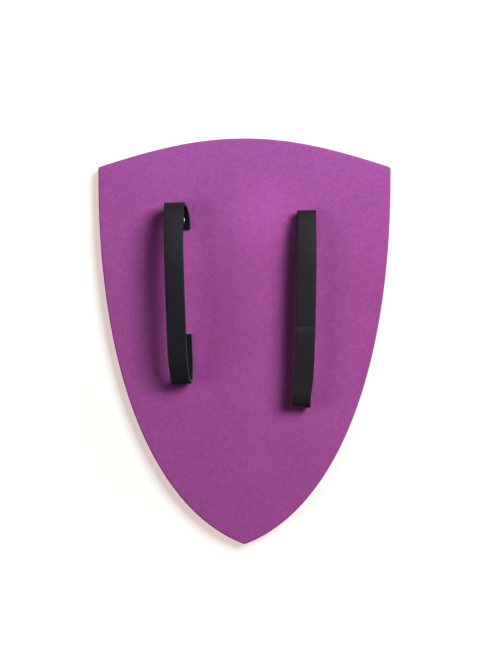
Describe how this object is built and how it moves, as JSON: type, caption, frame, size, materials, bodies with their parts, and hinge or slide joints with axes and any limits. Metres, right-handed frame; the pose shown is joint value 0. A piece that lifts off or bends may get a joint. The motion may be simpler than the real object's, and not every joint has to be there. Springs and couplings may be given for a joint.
{
  "type": "toy heater shield",
  "caption": "Flat foam heater shield for play, lying on its front, with an arm strap and a hand strap riveted to its back.",
  "frame": {"origin": "on the surface that the shield lies on, under the middle of its outline", "axes": "+Y towards the shield's top edge, +Z out of its back, where the straps are, and +X to the right seen from above"},
  "size_m": [0.2742, 0.3804, 0.0449],
  "materials": {
    "foam": "matte magenta-purple closed-cell foam",
    "strap": "matte black",
    "rivet": "bright nickel"
  },
  "bodies": {
    "root": {"shield_board": "foam", "arm_strap": "strap", "hand_strap": "strap", "arm_rivet_top": "rivet", "arm_rivet_bottom": "rivet", "hand_rivet_top": "rivet", "hand_rivet_bottom": "rivet"}
  },
  "joints": []
}
